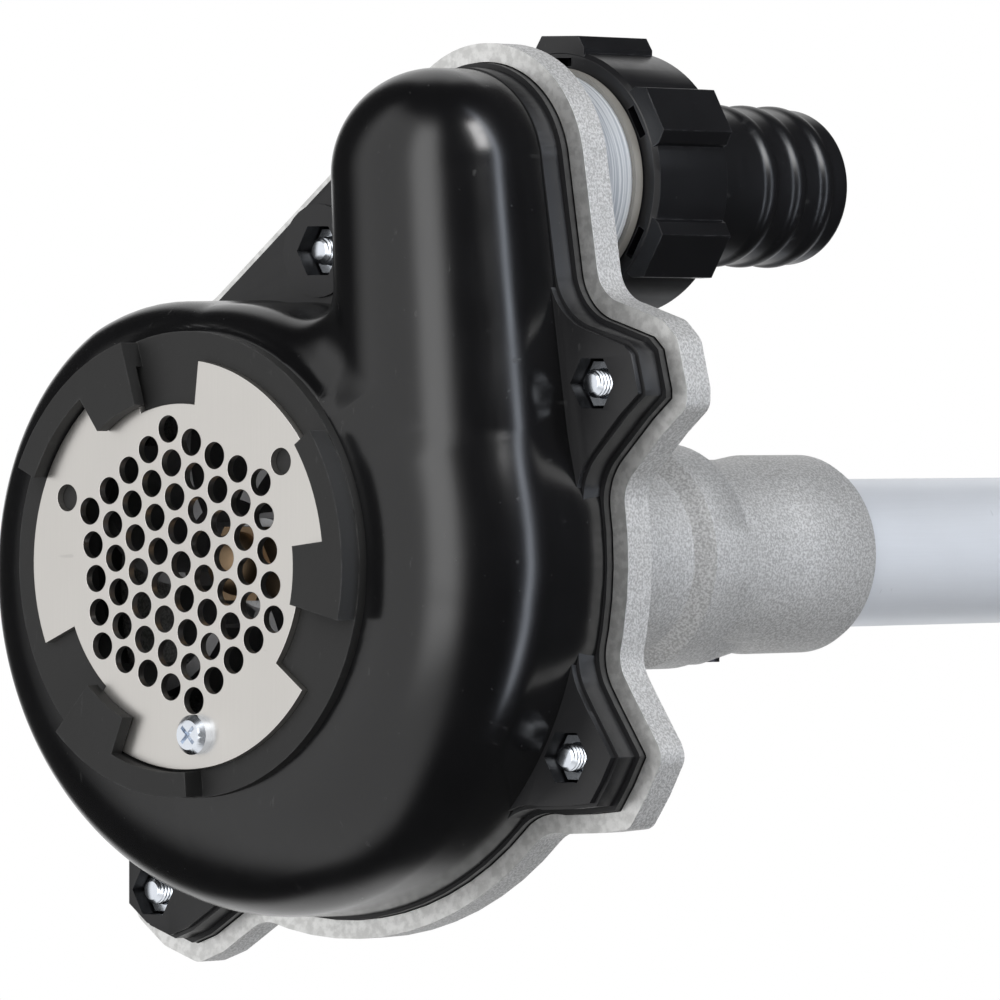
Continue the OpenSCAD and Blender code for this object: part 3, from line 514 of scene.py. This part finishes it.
def cover_surface(level, turns, fill, fan, flank, size):
    """One wall of the cover as a grid. Columns are half planes that fan out from VIEW_POINT.
    In each, the first rows look forward from a line that runs out to a spine inside the edge,
    the next ones fan round the edge from the spine, and the last ones look out to the flank."""
    turn = np.linspace(0, 2 * np.pi, turns, endpoint=False)
    out = np.stack([np.cos(turn), np.zeros(turns), np.sin(turn)], axis=-1)
    start = np.array((VIEW_POINT[0], 0.0, VIEW_POINT[1]))
    base = np.broadcast_to(start, out.shape)
    rim = solve(base, out, REACH_OUT, level, size)
    step = 0.3
    slope_x = (cover_distance(rim[:, 0] + step, rim[:, 1], rim[:, 2], size)
               - cover_distance(rim[:, 0] - step, rim[:, 1], rim[:, 2], size)) / (2 * step)
    slope_z = (cover_distance(rim[:, 0], rim[:, 1], rim[:, 2] + step, size)
               - cover_distance(rim[:, 0], rim[:, 1], rim[:, 2] - step, size)) / (2 * step)
    facing = np.clip(slope_x * out[:, 0] + slope_z * out[:, 2], LEAST_FACING, 1.0)
    inset = SPINE_INSET / facing
    window = np.ones(SPINE_WINDOW) / SPINE_WINDOW
    half = SPINE_WINDOW // 2
    inset = np.convolve(np.concatenate([inset[-half:], inset, inset[:half]]), window, "valid")
    spine = np.linalg.norm(rim - start, axis=1) - inset
    rows = []
    forward = np.array((0.0, -1.0, 0.0))
    for share in np.linspace(0, 1, fill + 1):
        origin = start + out * (spine * share)[:, None] + (0, SPINE_Y, 0)
        rows.append(solve(origin, np.broadcast_to(forward, out.shape), REACH, level, size))
    origin = start + out * spine[:, None] + (0, SPINE_Y, 0)
    for angle in np.linspace(0, np.pi / 2, fan + 1)[1:]:
        heading = out * math.sin(angle) + forward * math.cos(angle)
        rows.append(solve(origin, heading, REACH, level, size))
    for y in np.linspace(SPINE_Y, COVER_REAR, flank + 1)[1:]:
        origin = start + out * spine[:, None] + (0, y, 0)
        rows.append(solve(origin, out, REACH, level, size))
    return np.stack(rows)


def add_cover(size):
    """The cover's moulded wall, and a bevelled copy of its lugs and ledge."""
    outer = cover_surface(0.06, turns=640, fill=34, fan=26, flank=6, size=size)
    inner = cover_surface(-size.cover_wall * MM, turns=640, fill=12, fan=12, flank=3, size=size)
    wall = np.concatenate([outer, inner[::-1]])
    shells = [(wall, grid_faces(len(wall), wall.shape[1]))]
    origin = np.array([[GATE_MARK[0], SPINE_Y, GATE_MARK[1]]])
    spot = solve(origin, np.array([[0.0, -1.0, 0.0]]), REACH, 0.0, size)[0]
    dish = rounded([(0, 0.15), (0.7, 0.1), (1.2, -0.25), (1.75, -0.12), (2.1, 0.3), (0, 0.3)], 0.4)
    shells.append(lathe(dish + (0, spot[1]), 40, GATE_MARK))
    piece = add_piece("volute_cover_wall", shells, "pump_body",
                      material("cover_plastic"), 50.0)
    front, rear = COVER_FRONT - 5, COVER_FRONT + 6
    plug = lathe([(0, front), (HOLE_R, front), (HOLE_R, rear), (0, rear)])
    cutter = add_piece("hole_cutter", [plug], "pump_body",
                       material("cover_plastic"))
    cut = piece.modifiers.new("inlet hole", "BOOLEAN")
    cut.operation = "DIFFERENCE"
    cut.solver = "EXACT"
    cut.object = cutter
    apply_modifiers(piece)
    bpy.data.objects.remove(cutter)
    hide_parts("volute_cover")
    add_bevelled("volute_cover_lugs", "volute_cover", "pump_body",
                 material("lug_plastic"), 0.35, 3, 40.0, cut_front=-LUG_FRONT - LUG_CUT)


def apply_modifiers(piece):
    """Replaces the piece's mesh by the one that its modifiers give."""
    graph = bpy.context.evaluated_depsgraph_get()
    mesh = bpy.data.meshes.new_from_object(piece.evaluated_get(graph))
    piece.modifiers.clear()
    piece.data = mesh


# --- Other pieces ------------------------------------------------------------------------

NUT_WIDTH = 12.0         # wider than a nut, and less than the space between two
THREAD_PITCH = 0.8
THREAD_DEPTH = 0.42
THREAD_REAR = -0.4       # the threads end just behind the cut that the heads' copy starts at
HEADS_CUT = -0.5
RIDGES = 3               # ridges of the hose tail
RIDGE_PITCH = 7.75
RIDGE_FROM_END = 6.4     # from the tail's end to the middle of its last ridge
RIDGE_HEIGHT = 0.6


def bolt_places():
    """Centre of each cover screw in X and Z, in millimetres: the mean of each loose part of
    the nuts' mesh, found by joining points that lie within a nut's width."""
    nodes = frame["nodes"]["cover_nuts"].data
    points = np.empty(len(nodes.vertices) * 3)
    nodes.vertices.foreach_get("co", points)
    points = points.reshape(-1, 3)[:, [0, 2]] * MM
    centres = []
    while len(points):
        near = np.hypot(*(points - points[0]).T) < NUT_WIDTH
        low, high = points[near].min(axis=0), points[near].max(axis=0)
        centres.append((low + high) / 2)
        points = points[~near]
    return centres


def screw_thread(radius, depth, pitch, front, rear, centre, turns=36, rows_a_pitch=10):
    """A threaded rod: radius less a triangle wave of y / pitch - turn, with flat crests and
    roots, and tapered at its front end."""
    y = np.arange(front, rear, pitch / rows_a_pitch)
    turn = np.linspace(0, 2 * np.pi, turns, endpoint=False)
    phase = np.mod(y[:, None] / pitch - turn / (2 * np.pi), 1.0)
    wave = np.clip(np.abs(2 * phase - 1) * 1.3 - 0.15, 0, 1)
    r = radius - depth * wave
    chamfer, taper = 0.9, 1.1
    r = np.minimum(r, radius - chamfer + (y - front)[:, None] * taper)
    rows = np.stack([centre[0] + r * np.cos(turn), np.repeat(y[:, None], turns, 1),
                     centre[1] + r * np.sin(turn)], axis=-1)
    cap = np.broadcast_to((centre[0], 0.0, centre[1]), (1, turns, 3)).copy()
    first, last = cap.copy(), cap.copy()
    first[..., 1], last[..., 1] = front, y[-1]
    rows = np.concatenate([first, rows, last])
    return rows, grid_faces(len(rows), turns)


def add_screws(size):
    """Threaded ends of the cover screws, their heads, and the nuts on them."""
    front = box_mm("cover_screws")[0][1]
    shells = [screw_thread(size.screw_r * MM, THREAD_DEPTH, THREAD_PITCH, front, THREAD_REAR, c)
              for c in bolt_places()]
    add_piece("cover_screw_threads", shells, "pump_body", material("zinc_steel"),
              60.0)
    add_bevelled("cover_screw_heads", "cover_screws", "pump_body",
                 material("zinc_steel"), 0.2, 2, cut_front=HEADS_CUT)
    add_bevelled("cover_nuts_rounded", "cover_nuts", "pump_body",
                 material("zinc_steel"), 0.25, 3)


def add_castings():
    """Back plate with its neck and outlet collar, and the tube's socket, with soft edges."""
    add_bevelled("back_plate_cast", "back_plate", "pump_body",
                 material("cast_aluminium"), 0.35, 3, 40.0)
    add_bevelled("tube_socket_cast", "tube_socket", "pump_body",
                 material("cast_aluminium"), 0.9, 4, 30.0)


def add_inlet():
    """Bayonet ring and strainer plate with their edges broken."""
    add_bevelled("inlet_ring_moulded", "inlet_ring", "pump_body",
                 material("ring_plastic"), 0.4, 3)
    add_bevelled("strainer_plate_pressed", "strainer_plate", "pump_body",
                 material("stainless"), 0.12, 2)
    add_bevelled("strainer_screw_rounded", "strainer_screw", "pump_body",
                 material("zinc_steel"), 0.2, 3)


def add_outlet(size):
    """Swivel nut with rounded wings, and the hose tail turned from a rounded profile."""
    add_bevelled("outlet_nut_moulded", "outlet_nut", "outlet_nut",
                 material("fitting_plastic"), 0.6, 4)
    low, high = box_mm("hose_tail")
    tail, bore = size.tail_r * MM, size.tail_bore_r * MM
    flange, shoulder, crest = tail + 3.0, tail + 1.5, tail + RIDGE_HEIGHT
    start, end = low[1], high[1]
    nut_rear = box_mm("outlet_nut")[1][1]
    profile = [(bore, start), (flange, start), (flange, nut_rear - 4), (shoulder, nut_rear - 4),
               (shoulder, nut_rear + 0.5), (tail, nut_rear + 0.8)]
    for k in reversed(range(RIDGES)):
        y = end - RIDGE_FROM_END - k * RIDGE_PITCH
        profile += [(tail, y - 1.9), (crest, y - 0.7), (crest, y + 0.7), (tail, y + 1.9)]
    profile += [(tail, end - 1.0), (tail - 0.5, end), (bore, end), (bore, start)]
    piece = add_piece("hose_tail_moulded", [lathe(rounded(profile, 0.9), 144, OUTLET[[0, 2]])],
                      "pump_body", material("fitting_plastic"))
    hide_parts("hose_tail")


def add_tube():
    """The drive tube with its edges broken."""
    add_bevelled("drive_tube_anodised", "drive_tube", "pump_body",
                 material("anodised_aluminium"), 0.15, 2)


def dress_inner_nodes():
    """Gives every CAD node that still shows the procedural material of its slot."""
    for entry in frame["record"]["subparts"]:
        node = frame["nodes"][entry["node"]]
        if node.hide_render:
            continue
        node.data.materials.clear()
        node.data.materials.append(material(entry["material_slot"]))


# --- Stage -------------------------------------------------------------------------------


def add_light(name, azimuth, elevation, distance, width, height, power, aim):
    """A soft rectangular light that faces aim. Azimuth is measured from -Y towards +X."""
    a, e = math.radians(azimuth), math.radians(elevation)
    way = np.array((math.sin(a) * math.cos(e), -math.cos(a) * math.cos(e), math.sin(e)))
    data = bpy.data.lights.new(name, "AREA")
    data.shape = "RECTANGLE"
    data.size, data.size_y, data.energy = width, height, power
    light = bpy.data.objects.new(name, data)
    bpy.context.scene.collection.objects.link(light)
    light.location = aim + way * distance
    light.rotation_euler = (math.radians(90) - e, 0, a)


def add_world():
    """White surroundings for the camera. Reflections see a dim room with a broad card in front
    of the pump, a brighter band at its right end, a bluish strip on the right and the white
    backdrop behind. Angles are degrees: azimuth from -Y towards +X, and elevation."""
    world = bpy.data.worlds.new("studio")
    bpy.context.scene.world = world
    world.use_nodes = True
    n = Nodes(world.node_tree)
    back = n.tree.nodes["Background"]
    way = n.add("ShaderNodeTexCoord", out="Generated")
    x, y, z = (n.add("ShaderNodeSeparateXYZ", None, {0: way}, k) for k in range(3))
    azimuth = n.math("ARCTAN2", x, y * -1.0) * math.degrees(1)
    elevation = n.math("ARCSINE", z) * math.degrees(1)
    behind = n.math("ARCTAN2", x * -1.0, y) * math.degrees(1)

    def card(angle, left, right, low, high, soft):
        """A bright rectangle in the surroundings with soft edges."""
        return (n.between(angle, left - soft, left + soft)
                * n.between(angle, right - soft, right + soft, 1.0, 0.0)
                * n.between(elevation, low - 10, low + 10)
                * n.between(elevation, high - 10, high + 10, 1.0, 0.0))

    white = (card(azimuth, -58, 43, -82, 60, 14) * 1.05
             + card(azimuth, 13, 42, -20, 50, 8) * 2.3
             + card(behind, 22, 60, -60, 60, 8) * 0.9 + 0.04)
    blue = card(azimuth, 110, 116, -35, 60, 2.5) * 7.0
    light = n.mix(0.5, n.add("ShaderNodeCombineColor", None, {0: white, 1: white, 2: white}),
                  n.add("ShaderNodeCombineColor", None,
                        {0: blue * 0.88, 1: blue * 0.95, 2: blue * 1.07}))
    seen = n.add("ShaderNodeLightPath", out="Is Camera Ray")
    n.put(back.inputs["Color"], n.mix(seen, light, (0.5, 0.5, 0.5)))
    back.inputs["Strength"].default_value = 2.0


def add_camera(look):
    """A long lens that looks at the pump head from its azimuth, elevation and distance."""
    a, e = look.azimuth, look.elevation
    right = np.array((math.cos(a), math.sin(a), 0.0))
    back = np.array((math.sin(a) * math.cos(e), -math.cos(a) * math.cos(e), math.sin(e)))
    up = np.cross(back, right)
    strainer_front = box_mm("strainer_plate")[0][1]
    origin = np.array((0.0, (strainer_front + RIM_Y) / MM, 0.0))
    aim = origin + right * look.aim_right + up * look.aim_up
    data = bpy.data.cameras.new("camera")
    data.sensor_width = 36.0
    data.lens = look.lens
    data.clip_end = 50.0
    camera = bpy.data.objects.new("camera", data)
    bpy.context.scene.collection.objects.link(camera)
    camera.location = aim + back * look.distance
    camera.rotation_euler = (math.pi / 2 - e, 0.0, a)
    bpy.context.scene.camera = camera
    return aim


def add_floor(look, aim):
    """A pale round floor whose edge curls down, as a lathe about Z."""
    rings = np.array([0.0, 0.3, 0.6, 0.9, 1.15, 1.3, 1.36])
    drop = np.array([0.0, 0.0, 0.0, 0.0, 0.0, 0.02, 0.06])
    turns = 96
    turn = np.linspace(0, 2 * np.pi, turns, endpoint=False)
    points = np.stack(
        [rings[:, None] * np.cos(turn) + aim[0],
         rings[:, None] * np.sin(turn) + aim[1],
         np.repeat((look.floor_z - drop)[:, None], turns, axis=1)], axis=-1)
    mesh = bpy.data.meshes.new("floor")
    mesh.from_pydata(points.reshape(-1, 3).tolist(), [], grid_faces(len(rings), turns).tolist())
    work = bmesh.new()
    work.from_mesh(mesh)
    bmesh.ops.remove_doubles(work, verts=work.verts, dist=1e-6)
    bmesh.ops.recalc_face_normals(work, faces=work.faces)
    work.to_mesh(mesh)
    work.free()
    floor = bpy.data.objects.new("floor", mesh)
    bpy.context.scene.collection.objects.link(floor)
    f = Finish("floor_paint")
    f.set(Base_Color=f.mix(f.noise(60.0), (0.86, 0.86, 0.86), (0.9, 0.9, 0.9)), Roughness=0.8)
    mesh.materials.append(f.material)
    floor.visible_glossy = False


# --- Sizes, operators and panel ----------------------------------------------------------


def length(name, default, description):
    """A size property whose default is given in millimetres."""
    return bpy.props.FloatProperty(name=name, description=description, default=default / MM,
                                   unit="LENGTH", subtype="DISTANCE", precision=5)


class PumpSizes(bpy.types.PropertyGroup):
    """Sizes of the pieces that are modelled here."""

    volute_r: length("Volute radius", 66.5, "Radius of the volute where it is widest")
    volute_rise: length("Volute rise", 19.5, "How much smaller the volute is at its tongue")
    tongue_edge: length("Tongue edge", 10.0, "Radius of the cover's front edge at the tongue")
    tower_r: length("Tower radius", 18.5, "Radius of the tower at its top")
    tower_foot_r: length("Tower foot radius", 21.0, "Radius of the tower at its foot")
    tower_lean: length("Tower lean", 5.2, "How much further forward the foot is than the top")
    outlet_x: length("Outlet across", OUTLET[0], "Distance from the pump axis to the outlet")
    outlet_z: length("Outlet height", OUTLET[2], "Height of the outlet over the pump axis")
    dome_rise: length("Dome rise", 0.9, "Height of the dome's centre over the outlet")
    cover_wall: length("Cover wall", 3.2, "Wall of the moulded cover")
    notch_fillet: length("Notch fillet", 8.0, "Blend between the tower and the volute")
    screw_r: length("Screw radius", 2.5, "Radius of the cover screws")
    tail_r: length("Tail radius", 14.1, "Radius of the hose tail")
    tail_bore_r: length("Tail bore", 11.8, "Radius of the hose tail's bore")


def colour(name, default, description):
    """A colour property, as linear red, green and blue."""
    return bpy.props.FloatVectorProperty(name=name, description=description, default=default,
                                         subtype="COLOR", size=3, min=0.0, max=1.0)


class PumpColours(bpy.types.PropertyGroup):
    """Colours of the materials."""

    cover_plastic: colour("Cover", (0.004, 0.004, 0.0045), "Glossy black of the volute cover")
    lug_plastic: colour("Lugs", (0.006, 0.006, 0.007), "Duller black of the cover's lugs")
    ring_plastic: colour("Ring", (0.012, 0.012, 0.012), "Matt black of the bayonet ring")
    fitting_plastic: colour("Fittings", (0.005, 0.005, 0.006), "Black of the nut and hose tail")
    cast_aluminium: colour("Castings", (0.72, 0.718, 0.715), "Lightest grains of the castings")
    stainless: colour("Strainer", (0.68, 0.66, 0.63), "Stainless strainer plate")
    zinc_steel: colour("Fasteners", (0.74, 0.78, 0.84), "Zinc plating of the screws and nuts")
    anodised_aluminium: colour("Tube", (0.82, 0.85, 0.90), "Anodised skin of the drive tube")
    seal_cream: colour("Seal ring", (0.24, 0.23, 0.21), "Cream plastic of the outlet's seal ring")
    black_rubber: colour("Rubber", (0.02, 0.02, 0.02), "Rubber of the seals and gasket")
    brass: colour("Brass", (0.34, 0.24, 0.15), "Brass of the impeller's nut")
    impeller_metal: colour("Impeller", (0.34, 0.34, 0.35), "Metal of the impeller")
    ground_steel: colour("Shafts", (0.56, 0.57, 0.59), "Ground steel of shafts and bearings")
    spring_steel: colour("Clips", (0.10, 0.10, 0.11), "Dark spring steel of clips and springs")
    ceramic: colour("Ceramic", (0.84, 0.82, 0.77), "Ceramic seat of the shaft's seal")
    carbon: colour("Carbon", (0.03, 0.03, 0.032), "Carbon ring of the shaft's seal")


class PumpLook(bpy.types.PropertyGroup):
    """Camera and floor."""

    azimuth: bpy.props.FloatProperty(name="Azimuth", default=math.radians(41.493), subtype="ANGLE",
                                     description="Camera's turn from -Y towards +X")
    elevation: bpy.props.FloatProperty(name="Elevation", default=math.radians(0.562),
                                       subtype="ANGLE", description="Camera's height angle")
    lens: bpy.props.FloatProperty(name="Lens", default=355.0, unit="CAMERA",
                                  description="Focal length in millimetres")
    distance: length("Distance", 1729.8, "Camera's distance from its aim")
    aim_right: length("Aim across", 56.01, "Aim's offset to the right of the strainer's centre")
    aim_up: length("Aim up", 11.35, "Aim's offset above the strainer's centre")
    floor_z: length("Floor height", -160.0, "Height of the floor below the pump axis")


class Build:
    """What the operators share: each one's build() makes its pieces."""

    bl_options = {"REGISTER", "UNDO"}

    def execute(self, context):
        self.build(context.scene.pump_sizes, context.scene.pump_look)
        return {"FINISHED"}


class PUMP_OT_cover(Build, bpy.types.Operator):
    """Build the moulded volute cover"""

    bl_idname = "pump.cover"
    bl_label = "Volute Cover"

    def build(self, sizes, look):
        add_cover(sizes)


class PUMP_OT_inlet(Build, bpy.types.Operator):
    """Build the bayonet ring, the strainer plate and its screw"""

    bl_idname = "pump.inlet"
    bl_label = "Inlet"

    def build(self, sizes, look):
        add_inlet()


class PUMP_OT_castings(Build, bpy.types.Operator):
    """Build the back plate and the tube socket"""

    bl_idname = "pump.castings"
    bl_label = "Castings"

    def build(self, sizes, look):
        add_castings()


class PUMP_OT_screws(Build, bpy.types.Operator):
    """Build the cover screws' threads, heads and nuts"""

    bl_idname = "pump.screws"
    bl_label = "Screws and Nuts"

    def build(self, sizes, look):
        add_screws(sizes)


class PUMP_OT_outlet(Build, bpy.types.Operator):
    """Build the swivel nut and the hose tail"""

    bl_idname = "pump.outlet"
    bl_label = "Outlet"

    def build(self, sizes, look):
        add_outlet(sizes)


class PUMP_OT_tube(Build, bpy.types.Operator):
    """Build the drive tube"""

    bl_idname = "pump.tube"
    bl_label = "Drive Tube"

    def build(self, sizes, look):
        add_tube()


class PUMP_OT_dress(Build, bpy.types.Operator):
    """Give the CAD pieces that still show their materials"""

    bl_idname = "pump.dress"
    bl_label = "Inner Pieces"

    def build(self, sizes, look):
        dress_inner_nodes()


class PUMP_OT_stage(Build, bpy.types.Operator):
    """Add the floor, the lights, the surroundings and the camera"""

    bl_idname = "pump.stage"
    bl_label = "Stage"

    def build(self, sizes, look):
        aim = add_camera(look)
        add_floor(look, aim)
        add_world()
        add_light("key", azimuth=98, elevation=39, distance=1.6, width=0.36, height=0.75,
                  power=12, aim=aim)
        bpy.context.scene.view_settings.view_transform = "Standard"


OPERATORS = (PUMP_OT_cover, PUMP_OT_inlet, PUMP_OT_castings, PUMP_OT_screws, PUMP_OT_outlet,
             PUMP_OT_tube, PUMP_OT_dress, PUMP_OT_stage)


class PUMP_PT_pieces(bpy.types.Panel):
    """Lists the pieces of the pump head"""

    bl_idname = "PUMP_PT_pieces"
    bl_label = "Pump Head"
    bl_space_type = "VIEW_3D"
    bl_region_type = "UI"
    bl_category = "Pump Head"

    def draw(self, context):
        scene = context.scene
        for group in (scene.pump_sizes, scene.pump_colours, scene.pump_look):
            for name in group.__annotations__:
                self.layout.prop(group, name)
        for operator in OPERATORS:
            self.layout.operator(operator.bl_idname)


CLASSES = (PumpSizes, PumpColours, PumpLook, *OPERATORS, PUMP_PT_pieces)


def register():
    for item in CLASSES:
        bpy.utils.register_class(item)
    bpy.types.Scene.pump_sizes = bpy.props.PointerProperty(type=PumpSizes)
    bpy.types.Scene.pump_colours = bpy.props.PointerProperty(type=PumpColours)
    bpy.types.Scene.pump_look = bpy.props.PointerProperty(type=PumpLook)


def unregister():
    del bpy.types.Scene.pump_look
    del bpy.types.Scene.pump_colours
    del bpy.types.Scene.pump_sizes
    for item in reversed(CLASSES):
        bpy.utils.unregister_class(item)


def main():
    """Builds everything in order."""
    register()
    for operator in OPERATORS:
        group, name = operator.bl_idname.split(".")
        getattr(getattr(bpy.ops, group), name)()


if __name__ == "__main__":
    main()
